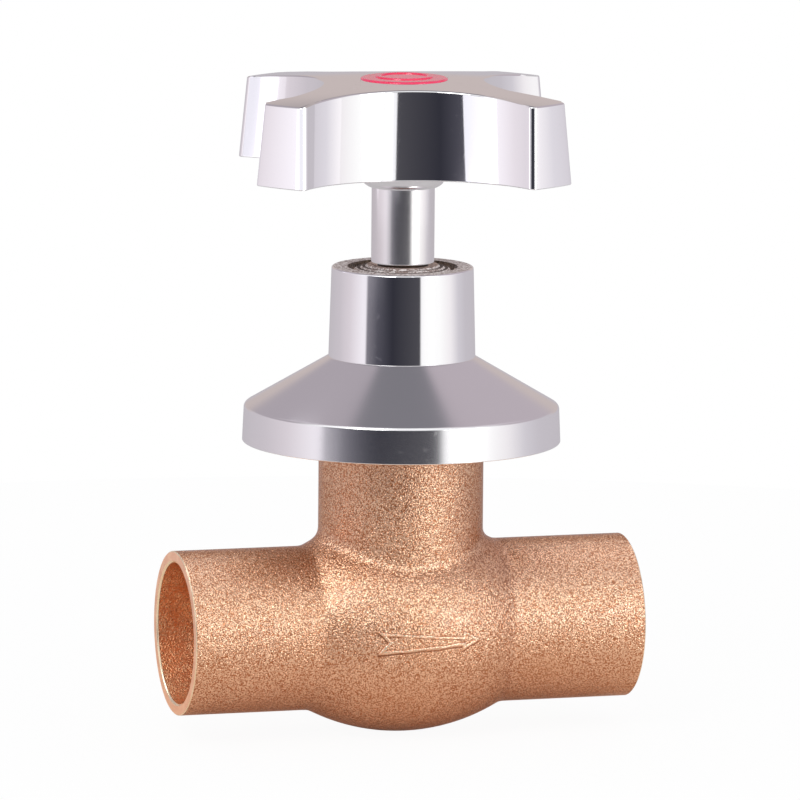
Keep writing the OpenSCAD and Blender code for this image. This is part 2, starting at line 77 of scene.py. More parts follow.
place = Matrix((picture_right, picture_up, toward_camera)).transposed().to_4x4()
place.translation = aim + toward_camera * CAMERA_AWAY * MM
camera.matrix_world = place
bpy.context.scene.collection.objects.link(camera)
bpy.context.scene.camera = camera
print("camera", tuple(round(c, 4) for c in camera.location))

# %% [markdown]
# Every finish below is a small net of shader nodes. Written out node by node they are hard to read,
# so one class wraps a socket and turns Python sums into Math nodes, and another makes any other node
# from its type, its settings and what goes into its sockets.

# %% Shader sums
class Value:
    """One output socket, so that sums on it can be written as sums."""

    def __init__(self, tree, socket):
        self.tree = tree
        self.socket = socket

    def sum(self, operation, first, second):
        node = self.tree.nodes.new("ShaderNodeMath")
        node.operation = operation
        for slot, item in zip(node.inputs, (first, second)):
            if isinstance(item, Value):
                self.tree.links.new(item.socket, slot)
            else:
                slot.default_value = item
        return Value(self.tree, node.outputs[0])

    def __add__(self, other):
        return self.sum("ADD", self, other)

    def __radd__(self, other):
        return self.sum("ADD", other, self)

    def __sub__(self, other):
        return self.sum("SUBTRACT", self, other)

    def __rsub__(self, other):
        return self.sum("SUBTRACT", other, self)

    def __mul__(self, other):
        return self.sum("MULTIPLY", self, other)

    def __truediv__(self, other):
        return self.sum("DIVIDE", self, other)

    def __abs__(self):
        return self.sum("ABSOLUTE", self, 0)


class Net:
    """A tree of nodes that is filled one node at a time."""

    def __init__(self, tree):
        self.tree = tree

    def node(self, kind, settings=None, sockets=None, out=0):
        node = self.tree.nodes.new(kind)
        for key, item in (settings or {}).items():
            if key == "stops":
                set_stops(node.color_ramp, item)
            else:
                setattr(node, key, item)
        for key, item in (sockets or {}).items():
            if isinstance(item, Value):
                self.tree.links.new(item.socket, node.inputs[key])
            else:
                node.inputs[key].default_value = item
        return Value(self.tree, node.outputs[out]) if node.outputs else None

    def blend(self, share, first, second):
        """A colour between two colours."""
        return self.node("ShaderNodeMix", {"data_type": "RGBA"}, {0: share, 6: first, 7: second}, 2)

    def noise(self, where, scale, detail, roughness):
        """A cloudy noise, whose scale is its grains to the metre."""
        sockets = {"Vector": where, "Scale": scale, "Detail": detail, "Roughness": roughness}
        return self.node("ShaderNodeTexNoise", {}, sockets)

    def smooth(self, value, low, high):
        """A soft step from 0 to 1 while the value goes from low to high."""
        sockets = {0: value, 1: low, 2: high}
        return self.node("ShaderNodeMapRange", {"interpolation_type": "SMOOTHSTEP"}, sockets)


def set_stops(ramp, stops):
    """Gives a colour ramp its stops."""
    ramp.elements.remove(ramp.elements[1])
    ramp.elements[0].position, ramp.elements[0].color = stops[0]
    for position, colour in stops[1:]:
        ramp.elements.new(position).color = colour


def paint(red, green, blue):
    """A colour given on a scale of 0 to 255, as the light that it gives back."""
    return tuple(((part / 255 + 0.055) / 1.055) ** 2.4 for part in (red, green, blue)) + (1,)


print("shader sums ready")

# %% [markdown]
# Polished chrome has no colour of its own: it shows the room. The photograph's room is plain from its
# reflections. A dark wall stands in front with a hard edge on its right, two bright panels flank it, and
# the sides fall off to a soft grey. The room could be built of sheets, but a world painted by direction
# gives it with no set to build. The walls are a ramp of angles round the stem, where 0 is the front.

# %% Studio walls
FRONT = Vector((-0.2829, -0.9591, 0.0))
RIGHT = Vector((0.9591, -0.2829, 0.0))
WALL = [(-180, (190, 185, 191)), (-120, (200, 193, 200)), (-92, (216, 208, 215)), (-66, (241, 236, 243)),
        (-60.5, (240, 235, 242)), (-57, (125, 122, 131)), (-39, (78, 77, 87)), (-15, (49, 49, 58)),
        (28, (76, 75, 81)), (30.5, (248, 247, 249)), (36, (255, 255, 255)), (62, (255, 255, 255)),
        (83, (241, 237, 240)), (101, (207, 203, 210)), (120, (195, 190, 197)), (180, (190, 185, 191))]
EDGE_SHIFT = radians(13)
BEIGE = (0.55, 0.475, 0.465, 1)
LILAC = paint(240, 235, 246)
LILAC_SHARE = 0.8
world = bpy.data.worlds.new("studio")
bpy.context.scene.world = world
world.use_nodes = True
world.node_tree.nodes.clear()
room = Net(world.node_tree)
ray = room.node("ShaderNodeTexCoord", out="Generated")
ahead = room.node("ShaderNodeVectorMath", {"operation": "DOT_PRODUCT"}, {0: ray, 1: FRONT}, "Value")
aside = room.node("ShaderNodeVectorMath", {"operation": "DOT_PRODUCT"}, {0: ray, 1: RIGHT}, "Value")
rise = room.node("ShaderNodeSeparateXYZ", {}, {0: ray}, "Z")
turn = room.node("ShaderNodeMath", {"operation": "ARCTAN2"}, {0: aside, 1: ahead})
# Upright chrome mirrors a lower level of the room, where the dark wall ends sooner on the left.
low_left = room.smooth(rise, -0.110, -0.130) * room.smooth(turn, -0.3, -0.6)
turn = turn - low_left * EDGE_SHIFT
around = turn / (2 * pi) + 0.5
stops = [((angle + 180) / 360, paint(*colour)) for angle, colour in WALL]
walls = room.node("ShaderNodeValToRGB", {"stops": stops}, {"Fac": around})
# The handle's crowned top mirrors the back of the room, which is beige above eye level.
beige_share = room.smooth(rise, 0.02, 0.09) * room.smooth(ahead, -0.75, -0.9)
walls = room.blend(beige_share, walls, BEIGE)
# The flange's rim and the handle's hollows mirror one narrow level, which is paler on the left.
level = room.smooth(rise, -0.088, -0.070) * room.smooth(rise, -0.055, -0.065)
level_left = level * room.smooth(aside, -0.35, -0.95) * room.smooth(ahead, 0.25, 0.5)
walls = room.blend(level_left * LILAC_SHARE, walls, LILAC)
print("wall stops:", len(WALL))

# %% [markdown]
# A grey strip runs overhead from the front to the back, which the flange's cone shows, and the roof is
# pale towards the front. The camera sees white, and matt surfaces get a plain even light.

# %% Studio roof and light
WHITE = (1, 1, 1, 1)
EVEN_LIGHT = (0.80, 0.80, 0.82, 1)
PALE_SHEET = (0.9, 0.9, 0.92, 1)
ROOF_LEFT = paint(169, 161, 169)
ROOF_RIGHT = paint(182, 172, 180)
ROOF_STRIP = paint(122, 120, 127)
# The added thousandth keeps the division away from zero.
strip = room.smooth(abs(aside) / (rise + 0.001), 0.25, 0.19)
roof = room.blend(room.smooth(aside, -0.2, 0.2), ROOF_LEFT, ROOF_RIGHT)
roof = room.blend(strip, roof, ROOF_STRIP)
roof = room.blend(room.smooth(ahead, -0.1, 0.35), roof, PALE_SHEET)
painted = room.blend(room.smooth(rise, 0.22, 0.42), walls, roof)
matt = room.node("ShaderNodeLightPath", out="Is Diffuse Ray")
seen = room.node("ShaderNodeLightPath", out="Is Camera Ray")
light = room.blend(matt, painted, EVEN_LIGHT)
light = room.blend(seen, light, WHITE)
glow = room.node("ShaderNodeBackground", {}, {"Color": light, "Strength": 1.0})
room.node("ShaderNodeOutputWorld", {}, {"Surface": glow})
bpy.context.scene.view_settings.view_transform = "Standard"
print("view transform:", bpy.context.scene.view_settings.view_transform)

# %% [markdown]
# Two soft lamps light the valve. The key lamp stands high on the left, in front, and gives the casting
# its highlights and the floor its shadow, and a weaker fill lamp stands on the right. A constraint could
# aim them, but a matrix does it at once, with nothing to be solved later.

# %% Lamps
def flat_lamp(name, shape, size, power, colour, place):
    """A flat lamp of a size in metres and a power in watts, which shines along its own -Z."""
    lamp = bpy.data.objects.new(name, bpy.data.lights.new(name, "AREA"))
    lamp.data.shape = shape
    lamp.data.size, lamp.data.size_y = size
    lamp.data.energy = power
    lamp.data.color = colour[:3]
    lamp.matrix_world = place
    bpy.context.scene.collection.objects.link(lamp)
    print(name, round(power, 5), "W")
    return lamp


def from_foot(aside, ahead, height):
    """A place so many metres to the right, in front and above where the stem's axis meets the run's."""
    return STEM + RIGHT * aside + FRONT * ahead + UP * height


def aimed(place, target):
    """Puts a lamp at a place and turns it to shine on a target."""
    return Matrix.Translation(place) @ (place - target).to_track_quat("Z", "Y").to_matrix().to_4x4()


KEY_FROM = STEM + Vector((-0.50, -0.52, 0.62))
FILL_FROM = from_foot(0.60, 0.55, 0.16)
flat_lamp("key_lamp", "DISK", (0.42, 0.42), 1.7, WHITE, aimed(KEY_FROM, aim))
flat_lamp("fill_lamp", "DISK", (0.36, 0.36), 1.2, WHITE, aimed(FILL_FROM, aim))

# %% [markdown]
# The floor is a pale disc under the belly. It ends before the chrome's reflections reach it, as a small
# table would. Rays that come a short way find it warm, which is a painted bounce of the casting's own
# colour, and longer ones find it grey. The camera sees it almost white, with a faint shadow.

# %% Floor
FLOOR_LEVEL = -17.05
FLOOR_RADIUS = 250
# Rays are near up to the first length and far from the second, in metres.
NEAR_END = 0.075
FAR_START = 0.088
BOUNCE_TINT = (0.78, 0.64, 0.53, 1)
GREY_TINT = (0.54, 0.525, 0.53, 1)
CAMERA_TINT = (0.95, 0.95, 0.95, 1)
CAMERA_WHITE = 0.94
MIRROR_WHITE = 0.1
floor_mesh = bpy.data.meshes.new("floor")
disc = bmesh.new()
under = Matrix.Translation(STEM + UP * (FLOOR_LEVEL * MM))
bmesh.ops.create_circle(disc, cap_ends=True, segments=96, radius=FLOOR_RADIUS * MM, matrix=under)
disc.to_mesh(floor_mesh)
disc.free()
floor = bpy.data.objects.new("floor", floor_mesh)
bpy.context.scene.collection.objects.link(floor)
pale = bpy.data.materials.new("pale_floor")
pale.use_nodes = True
pale.node_tree.nodes.clear()
net = Net(pale.node_tree)
camera_ray = net.node("ShaderNodeLightPath", out="Is Camera Ray")
glossy_ray = net.node("ShaderNodeLightPath", out="Is Glossy Ray")
clear_ray = net.node("ShaderNodeLightPath", out="Is Transmission Ray")
way_down = net.node("ShaderNodeLightPath", out="Ray Length")
# The warm tint for near rays is painted bounce light from the casting.
tint = net.blend(net.smooth(way_down, NEAR_END, FAR_START), BOUNCE_TINT, GREY_TINT)
tint = net.blend(camera_ray, tint, CAMERA_TINT)
paper = net.node("ShaderNodeBsdfDiffuse", {}, {"Color": tint})
white = net.node("ShaderNodeEmission", {}, {"Color": WHITE, "Strength": 1.0})
share = camera_ray * CAMERA_WHITE + (glossy_ray + clear_ray) * MIRROR_WHITE
both = net.node("ShaderNodeMixShader", {}, {0: share, 1: paper, 2: white})
net.node("ShaderNodeOutputMaterial", {}, {"Surface": both})
floor.data.materials.append(pale)
print("floor radius", FLOOR_RADIUS, "mm")

# %% [markdown]
# A photographer shapes the dark band on chrome with strip lights just outside the picture. Two stand in
# front of the handle's hollow and narrow the dark wall there, one on the left lights the lobe at the
# back, and a dull grey panel stands on each side. Only reflections see them, so they add no light to the
# rest. A lamp that shines as bright as a white sheet has a power of pi times its area.

# %% Strip lights
def strip_light(name, centre, across, size, colour):
    """An upright lamp at (aside, ahead, height) in mm from the stem's foot, seen only in mirrors."""
    wide = size[0] * MM
    tall = size[1] * MM
    turned = Matrix((across, UP, across.cross(UP))).transposed().to_4x4()
    place = Matrix.Translation(from_foot(*[part * MM for part in centre])) @ turned
    lamp = flat_lamp(name, "RECTANGLE", (wide, tall), pi * wide * tall, colour, place)
    lamp.visible_camera = lamp.visible_diffuse = lamp.visible_transmission = False


strip_light("strip_left", (-19.05, 33, 78), RIGHT, (27.9, 19), paint(238, 237, 244))
strip_light("strip_right", (9.2, 33, 78), RIGHT, (2.6, 19), paint(240, 240, 242))
strip_light("strip_side", (-34, -6.5, 77), FRONT, (5, 24), paint(200, 199, 206))
strip_light("panel_left", (-42, 20, 74), FRONT, (60, 30), paint(96, 95, 98))
strip_light("panel_right", (42, 8, 74), -FRONT, (34, 30), paint(89, 88, 91))

# %% [markdown]
# The finishes come next. Each starts the same way: a metal or plastic shader, and the object's own
# coordinates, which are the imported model's metres. The scale of a noise is then its grains to the metre.

# %% Finish helpers
def begin(name, **constants):
    """A new material: its net, its shader node and the object's coordinates."""
    material = bpy.data.materials.new(name)
    material.use_nodes = True
    material.node_tree.nodes.clear()
    net = Net(material.node_tree)
    shader = material.node_tree.nodes.new("ShaderNodeBsdfPrincipled")
    for key, item in constants.items():
        shader.inputs[key.replace("_", " ")].default_value = item
    net.node("ShaderNodeOutputMaterial", {}, {"Surface": Value(net.tree, shader.outputs[0])})
    where = net.node("ShaderNodeTexCoord", out="Object")
    return material, net, shader, where


def feed(net, shader, **links):
    """Links the parts of a finish that change over the surface."""
    for key, item in links.items():
        net.tree.links.new(item.socket, shader.inputs[key.replace("_", " ")])


def bump(net, height, depth, strength, **more):
    """A surface raised by height times depth, in metres."""
    sockets = {"Strength": strength, "Distance": depth, "Height": height, **more}
    return net.node("ShaderNodeBump", {}, sockets)


def length_across(net, where, kept):
    """The distance from an axis, when only the kept directions count."""
    flat = net.node("ShaderNodeVectorMath", {"operation": "MULTIPLY"}, {0: where, 1: kept})
    return net.node("ShaderNodeVectorMath", {"operation": "LENGTH"}, {0: flat}, "Value")


def rings_of(net, reach, rate, wobble):
    """Fine turned rings from -1 to 1, with a rate of radians to the metre."""
    return net.node("ShaderNodeMath", {"operation": "SINE"}, {0: reach * rate + wobble})


def facets(net, where, scale, lean):
    """The surface's own direction, with each small cell of it tilted its own way."""
    cells = net.node("ShaderNodeTexVoronoi", {"feature": "F1"}, {"Vector": where, "Scale": scale}, "Color")
    spread = {0: cells, 1: (lean, lean, lean), 2: (-lean / 2, -lean / 2, -lean / 2)}
    tilt = net.node("ShaderNodeVectorMath", {"operation": "MULTIPLY_ADD"}, spread)
    own = net.node("ShaderNodeNewGeometry", out="Normal")
    both = net.node("ShaderNodeVectorMath", {}, {0: own, 1: tilt})
    return net.node("ShaderNodeVectorMath", {"operation": "NORMALIZE"}, {0: both})


def from_stem(net, where):
    """The distance from the stem's axis, and the height."""
    shifted = net.node("ShaderNodeMapping", {}, {"Vector": where, "Location": -STEM})
    return length_across(net, shifted, (1, 1, 0)), net.node("ShaderNodeSeparateXYZ", {}, {0: where}, "Z")


print("finish helpers ready")

# %% [markdown]
# Sand-cast bronze that has been blasted: a pink-gold metal with a bright grain of a fifth of a
# millimetre, a coarser mottle, and a browner tone in broad patches. Noise alone looks like soft dirt, so
# Voronoi cells give each grain its own tilt, which is what sparkles, and noise breaks their edges.

# %% Cast bronze
GRAINS = 4700.0
MOTTLES = 2200.0
CELLS = 4600.0
PATCHES = 70.0
BROWN_TONE = (0.80, 0.42, 0.22, 1)
CAST_SHEEN = {"Metallic": 0.9, "Coat_Weight": 0.38, "Coat_IOR": 1.6, "Coat_Roughness": 0.25,
              "Specular_Tint": (0.62, 0.36, 0.24, 1)}


def cast_bronze(name, dark, light, lean, depth):
    """Bronze with a grain between two colours, whose cells lean and whose crests rise, in metres."""
    material, net, shader, where = begin(name, **CAST_SHEEN)
    grain = net.noise(where, GRAINS, 1.0, 0.5)
    patch = net.noise(where, MOTTLES, 2.0, 0.6)
    tone = net.noise(where, PATCHES, 2.0, 0.5)
    crest = net.smooth(grain * 0.75 + patch * 0.25, 0.41, 0.57)
    skin = net.blend(crest, dark, light)
    skin = net.blend(net.smooth(tone, 0.40, 0.75) * 0.2, skin, BROWN_TONE)
    rough = 0.19 - crest * 0.07
    grit = facets(net, where, CELLS, lean)
    face = bump(net, grain * 0.8 + patch * 0.5, depth, 0.8, Normal=grit)
    feed(net, shader, Base_Color=skin, Roughness=rough, Normal=face)
    return material


bronze = cast_bronze("cast_bronze", (0.50, 0.19, 0.08, 1), (1.0, 0.67, 0.46, 1), lean=0.3, depth=0.0002)
# The arrow's paler bronze is rubbed wear and a painted highlight, and the near-black one is painted shadow.
rubbed_highlit = cast_bronze("rubbed_highlit_bronze", (1.0, 0.55, 0.34, 1), (1.0, 0.80, 0.60, 1), lean=0.3, depth=0.00016)
shadow_bronze = cast_bronze("painted_shadow_bronze", (0.28, 0.11, 0.055, 1), (0.44, 0.19, 0.10, 1),
                        lean=0.2, depth=0.00012)
print("finishes", bronze.name, rubbed_highlit.name, shadow_bronze.name)

# %% [markdown]
# The ends of the run are faced in a lathe, so they are lighter and smoother, with fine rings. The
# chamfers at their edges are cut last and are the palest, a colour that also paints the highlight they
# catch. Rings could be modelled, but at a fifth of a millimetre a sine of the distance is enough. The
# sockets are left as the core made them, with a fine warm grain.

# %% Machined ends and cored sockets
FACING_PITCH = 0.00022
CORE_GRAINS = 3800.0
CORE_DARK = (0.86, 0.33, 0.135, 1)
CORE_LIGHT = (1.0, 0.65, 0.38, 1)


def faced_bronze(name, dark, light, metal, gloss):
    """Turned bronze with rings round the run's axis and stains between two colours."""
    material, net, shader, where = begin(name, Metallic=metal)
    reach = length_across(net, where, (0, 1, 1))
    wobble = net.noise(where, 260.0, 2.0, 0.6)
    rings = rings_of(net, reach, 2 * pi / FACING_PITCH, wobble * 5.0)
    stain = net.smooth(net.noise(where, 420.0, 4.0, 0.65), 0.35, 0.7)
    skin = net.blend(stain * 0.8 + rings * 0.1, dark, light)
    face = bump(net, rings * 0.5 + wobble, 0.00003, 0.5)
    feed(net, shader, Base_Color=skin, Roughness=gloss + stain * 0.12, Normal=face)
    return material


def cored_bronze():
    """The skin that a sand core leaves in a socket."""
    material, net, shader, where = begin("cored_bronze", Metallic=0.85)
    grain = net.noise(where, CORE_GRAINS, 2.0, 0.6)
    patch = net.noise(where, 260.0, 3.0, 0.6)
    crest = net.smooth(grain * 0.6 + patch * 0.4, 0.38, 0.62)
    skin = net.blend(crest, CORE_DARK, CORE_LIGHT)
    grit = facets(net, where, CORE_GRAINS, 0.15)
    face = bump(net, grain + patch * 0.4, 0.0002, 0.8, Normal=grit)
    feed(net, shader, Base_Color=skin, Roughness=0.34 - crest * 0.1, Normal=face)
    return material


faced = faced_bronze("faced_bronze", (0.90, 0.46, 0.27, 1), (1.0, 0.63, 0.42, 1), metal=0.6, gloss=0.3)
# The chamfers' paler colour also paints the highlight that they catch.
highlit_cut = faced_bronze("cut_highlit_bronze", (1.0, 0.80, 0.54, 1), (1.0, 0.89, 0.68, 1), metal=0.9, gloss=0.2)
bored = cored_bronze()
print("finishes", faced.name, highlit_cut.name, bored.name)

# %% [markdown]
# Chrome is a mirror with a faint cool cast. It is never quite perfect: handling leaves a thin haze that
# changes the gloss a little from place to place. The flange is spun, so it is less sharp. The stem's
# cover is satin, with turning lines round it, which spread a reflection along the height. They are a
# noise that is stretched round the stem, which needs no texture map.

# %% Chrome
CLEAN = (0.99, 0.985, 0.99, 1)
HAZED = (0.955, 0.95, 0.96, 1)
SATIN_DARK = (0.88, 0.86, 0.86, 1)
SATIN_LIGHT = (0.95, 0.935, 0.93, 1)
TURNING_LINES = (60.0, 60.0, 9000.0)


def polished_chrome(name, gloss):
    """A mirror of a roughness, with haze and specks."""
    material, net, shader, where = begin(name, Metallic=1.0)
    haze = net.smooth(net.noise(where, 38.0, 4.0, 0.6), 0.35, 0.75)
    specks = net.smooth(net.noise(where, 900.0, 2.0, 0.5), 0.66, 0.74)
    skin = net.blend(haze * 0.5 + specks * 0.12, CLEAN, HAZED)
    rough = gloss + haze * 0.03 + specks * 0.05
    feed(net, shader, Base_Color=skin, Roughness=rough)
    return material


def satin_chrome():
    """Chrome over turning lines."""
    material, net, shader, where = begin("satin_chrome", Metallic=1.0)
    stretched = net.node("ShaderNodeMapping", {}, {"Vector": where, "Scale": TURNING_LINES})
    lines = net.noise(stretched, 1.0, 3.0, 0.6)
    haze = net.noise(where, 120.0, 3.0, 0.6)
    skin = net.blend(lines, SATIN_DARK, SATIN_LIGHT)
    rough = 0.19 + lines * 0.06 + haze * 0.03
    face = bump(net, lines, 0.00001, 0.1)
    feed(net, shader, Base_Color=skin, Roughness=rough, Normal=face)
    return material


chrome = polished_chrome("polished_chrome", gloss=0.045)
spun = polished_chrome("spun_chrome", gloss=0.16)
satin = satin_chrome()
print("finishes", chrome.name, spun.name, satin.name)

# %% [markdown]
# Brass shows in two states. The pieces inside are turned bright, with fine rings round the stem's axis,
# and the stem gets a dark band where it leaves the gland, which is painted shade in that gap. The
# sleeve's lip and the gland nut were faced roughly, so they are dull and scratched, and the sleeve's bore
# is near black, which is painted shade. One recipe makes all three rough ones, with other colours and
# roughness.

# %% Brass
BRIGHT = (0.91, 0.72, 0.42, 1)
TARNISHED = (0.66, 0.47, 0.24, 1)
STEM_SHADE_COLOUR = (0.045, 0.03, 0.022, 1)
# The painted shade on the stem fades in and out again between these heights, in metres.
STEM_SHADE_FOOT = (0.0562, 0.0568)
STEM_SHADE_TOP = (0.0590, 0.0580)
# The rings' rates are in radians to the metre.
TURNED_RATE = 42000.0
SAWN_RATE = 12000.0
SCRATCH_GRAINS = 2600.0


def turned_brass():
    """Bright brass with rings, tarnish and a band of painted shade where the stem leaves the gland."""
    material, net, shader, where = begin("turned_brass", Metallic=1.0)
    reach, height = from_stem(net, where)
    wobble = net.noise(where, 300.0, 2.0, 0.6)
    rings = rings_of(net, reach + height, TURNED_RATE, wobble * 4.0)
    tarnish = net.smooth(net.noise(where, 180.0, 4.0, 0.6), 0.4, 0.75)
    skin = net.blend(tarnish, BRIGHT, TARNISHED)
    # The dark band on the stem at the gland's mouth is painted shade.
    stem_shade = net.smooth(height, *STEM_SHADE_FOOT) * net.smooth(height, *STEM_SHADE_TOP)
    skin = net.blend(stem_shade, skin, STEM_SHADE_COLOUR)
    rough = 0.2 + tarnish * 0.18 + stem_shade * 0.3
    face = bump(net, rings, 0.000012, 0.5)
    feed(net, shader, Base_Color=skin, Roughness=rough, Normal=face)
    return material


def sawn_brass(name, dark, light, rough_low, metal=1.0):
    """Roughly faced brass, specked between two colours."""
    material, net, shader, where = begin(name, Metallic=metal)
    reach = from_stem(net, where)[0]
    speck = net.noise(where, SCRATCH_GRAINS, 2.0, 0.6)
    scratch = net.noise(where, 900.0, 3.0, 0.7)
    rings = rings_of(net, reach, SAWN_RATE, scratch * 6.0)
    skin = net.blend(net.smooth(speck * 0.7 + scratch * 0.3, 0.40, 0.60), dark, light)
    rough = rough_low + scratch * 0.15
    grit = facets(net, where, SCRATCH_GRAINS, 0.5)
    face = bump(net, rings * 0.3 + speck, 0.00008, 0.7, Normal=grit)
    feed(net, shader, Base_Color=skin, Roughness=rough, Normal=face)
    return material


brass = turned_brass()
sawn = sawn_brass("sawn_brass", (0.34, 0.25, 0.22, 1), (1.0, 0.94, 0.90, 1), rough_low=0.36, metal=0.35)
# A near-black brass for the sleeve's bore and the gland nut's flat steps is painted shade.
shade_brass = sawn_brass("painted_shade_brass", (0.05, 0.036, 0.028, 1), (0.17, 0.12, 0.09, 1), rough_low=0.5)
nut_brass = sawn_brass("nut_brass", (0.16, 0.08, 0.05, 1), (0.86, 0.66, 0.52, 1), rough_low=0.3)
print("finishes", brass.name, sawn.name, shade_brass.name, nut_brass.name)

# %% [markdown]
# The soft pieces inside are a black rubber seat washer, a grey fibre gasket and pale plaited packing.
# None shows in the photograph, but each shows when the valve is taken apart. One noise does for all
# three. The index button on the handle is a clear red plastic moulding with a glossy skin, so it lets
# a little light in below the surface.

# %% Plastic, rubber, fibre and packing
CLEAR_PLASTIC = {"Coat_Weight": 0.5, "Coat_Roughness": 0.05, "Subsurface_Weight": 0.25,
                 "Subsurface_Scale": 0.002, "IOR": 1.49}
DEEP_RED = (0.90, 0.018, 0.10, 1)
PALE_RED = (0.96, 0.06, 0.17, 1)


def index_red():
    """Clear red plastic with a faint cloud in it."""
    material, net, shader, where = begin("index_red", **CLEAR_PLASTIC)
    cloud = net.noise(where, 420.0, 3.0, 0.6)
    skin = net.blend(cloud, DEEP_RED, PALE_RED)
    rough = 0.16 + cloud * 0.12
    face = bump(net, cloud, 0.00003, 0.3)
    feed(net, shader, Base_Color=skin, Roughness=rough, Normal=face)
    return material


def soft_finish(name, dark, light, grains, rough_low, depth):
    """A soft stuff with a grain between two colours that rises by a depth, in metres."""
    material, net, shader, where = begin(name)
    grain = net.noise(where, grains, 4.0, 0.65)
    skin = net.blend(net.smooth(grain, 0.3, 0.7), dark, light)
    rough = rough_low + grain * 0.15
    face = bump(net, grain, depth, 0.6)
    feed(net, shader, Base_Color=skin, Roughness=rough, Normal=face)
    return material


red = index_red()
rubber = soft_finish("seat_rubber", (0.018, 0.018, 0.020, 1), (0.045, 0.045, 0.048, 1),
                     grains=900.0, rough_low=0.55, depth=0.00004)
fibre = soft_finish("fibre_gasket", (0.12, 0.13, 0.13, 1), (0.24, 0.25, 0.24, 1),
                    grains=2200.0, rough_low=0.7, depth=0.00005)
plait = soft_finish("plaited_packing", (0.62, 0.59, 0.52, 1), (0.86, 0.84, 0.78, 1),
                    grains=1400.0, rough_low=0.5, depth=0.00008)
print("finishes", red.name, rubber.name, fibre.name, plait.name)

# %% [markdown]
# Most of the chromed and brass pieces were made on a lathe, so one helper makes them the same way. It
# draws half of the section as a flat face, rounds the corners that the tool rounds, drops the face and
# keeps its edges, and spins them once round the stem. Rounding before the spin costs a few vertices,
# where a bevel after it would cost thousands. A section is a list of corners, each with its distance from
# the axis, its height and its rounding.

# %% Lathe helpers
def publish(shape, name, finishes, body, node=None, sharp=35, mirrored=False):
    """Turns a finished bmesh into a piece that rides on a body, shown in other pieces' mirror or not."""
    mesh = bpy.data.meshes.new(name)
    shape.to_mesh(mesh)
    shape.free()
    for finish in finishes:
        mesh.materials.append(finish)
    mesh.polygons.foreach_set("use_smooth", [True] * len(mesh.polygons))
    mesh.set_sharp_from_angle(angle=radians(sharp))
    piece = bpy.data.objects.new(name, mesh)
    bpy.context.scene.collection.objects.link(piece)
    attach(piece, body)
    if node:
        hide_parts(node)
    piece.visible_glossy = mirrored
    print(name, len(mesh.polygons), "faces on", body)
    return piece


def at(reach, height):
    """A place beside the stem, from a distance off its axis and a height in mm."""
    return STEM + Vector((reach * MM, 0, height * MM))


def reach_of(place):
    """How far a place is from the stem's axis, in mm."""
    return (place - STEM).xy.length / MM


def all_of(shape):
    """Everything in a shape, for an operator that takes it whole."""
    return list(shape.verts) + list(shape.edges) + list(shape.faces)


def close_gap(shape):
    """Fills the one opening that a cut or a spin left."""
    bmesh.ops.edgeloop_fill(shape, edges=[e for e in shape.edges if e.is_boundary])


def section(shape, corners, steps):
    """Draws a closed section of (reach, height, rounding) corners in mm and spins it round the stem."""
    rim = [shape.verts.new(at(reach, height)) for reach, height, rounding in corners]
    shape.faces.new(rim)
    for vert, (reach, height, rounding) in zip(rim, corners):
        if rounding:
            bmesh.ops.bevel(shape, geom=[vert], offset=rounding * MM, offset_type="OFFSET", segments=6,
                            profile=0.5, affect="VERTICES", material=-1)
    bmesh.ops.delete(shape, geom=list(shape.faces), context="FACES_ONLY")
    bmesh.ops.spin(shape, geom=all_of(shape), cent=STEM, axis=UP, angle=2 * pi, steps=steps, use_merge=True)
    bmesh.ops.remove_doubles(shape, verts=list(shape.verts), dist=1e-7)
    bmesh.ops.recalc_face_normals(shape, faces=list(shape.faces))


def flatten(piece):
    """Lets large faces keep their flat shading beside small rounded edges."""
    steady = piece.modifiers.new("flat_faces", "WEIGHTED_NORMAL")
    steady.keep_sharp = True
    steady.weight = 60


print("lathe helpers ready")

# %% [markdown]
# The wall flange is a spun cup: an upright rim that meets the wall, a rounded shoulder, and a cone up to
# the sleeve. It is hollow below, with a wall a little over a millimetre and a half thick. A solidified
# sheet would have one thickness all over, so the section draws both sides of the wall.

# %% Wall flange
RIM_FOOT = 29.5
CONE_TOP = 42.9
CONE_R = 11.6
CUP = [(9.5, 40.9, 0), (9.5, CONE_TOP, 0.25), (CONE_R, CONE_TOP, 0.15), (24.9, 35.1, 0.35),
       (25.15, RIM_FOOT, 0.12), (23.55, RIM_FOOT, 0.25), (23.3, 33.3, 1.0), (11.85, 40.9, 0.6)]
cup = bmesh.new()
section(cup, CUP, 192)
flatten(publish(cup, "flange_cup", [spun], "flange", "wall_flange", mirrored=True))

# %% [markdown]
# The sleeve screws on the bonnet and holds the flange up to the wall. It is chromed outside, with a
# roughly faced lip, and its bore is near black, which is painted shade. These could be separate pieces,
# but it is one turned part, so the place of each face tells which finish it gets.

# %% Sleeve
LIP = 57.2
BORE_R = 8.62
SHEATH = [(BORE_R, LIP, 0.15), (11.2, LIP, 0.3), (CONE_R, CONE_TOP, 0.15), (9.4, CONE_TOP, 0),
          (9.4, 40.8, 0), (10.2, 40.8, 0.1), (10.2, 40.2, 0.1), (BORE_R, 40.2, 0.1)]
SHADE_WITHIN = 8.7
SAWN_WITHIN = 10.6
SAWN_ABOVE = 57.1
sheath = bmesh.new()
section(sheath, SHEATH, 160)
# The bore's near-black brass is painted shade.
for face in sheath.faces:
    middle = face.calc_center_median()
    if reach_of(middle) < SHADE_WITHIN:
        face.material_index = 2
    elif middle.z > SAWN_ABOVE * MM and reach_of(middle) < SAWN_WITHIN:
        face.material_index = 1
flatten(publish(sheath, "sleeve_shell", [chrome, sawn, shade_brass], "sleeve", "sleeve"))

# %% [markdown]
# The sleeve's bore has a fine right-hand thread. A thread could be a bump, but its crests catch the light
# at the mouth, so it is a real helix: the section of one tooth is spun round the stem while it climbs by
# one pitch a turn.

# %% Sleeve thread
PITCH = 1.337
TURNS = 11
STEPS_A_TURN = 64
THREAD_FOOT = 41.4
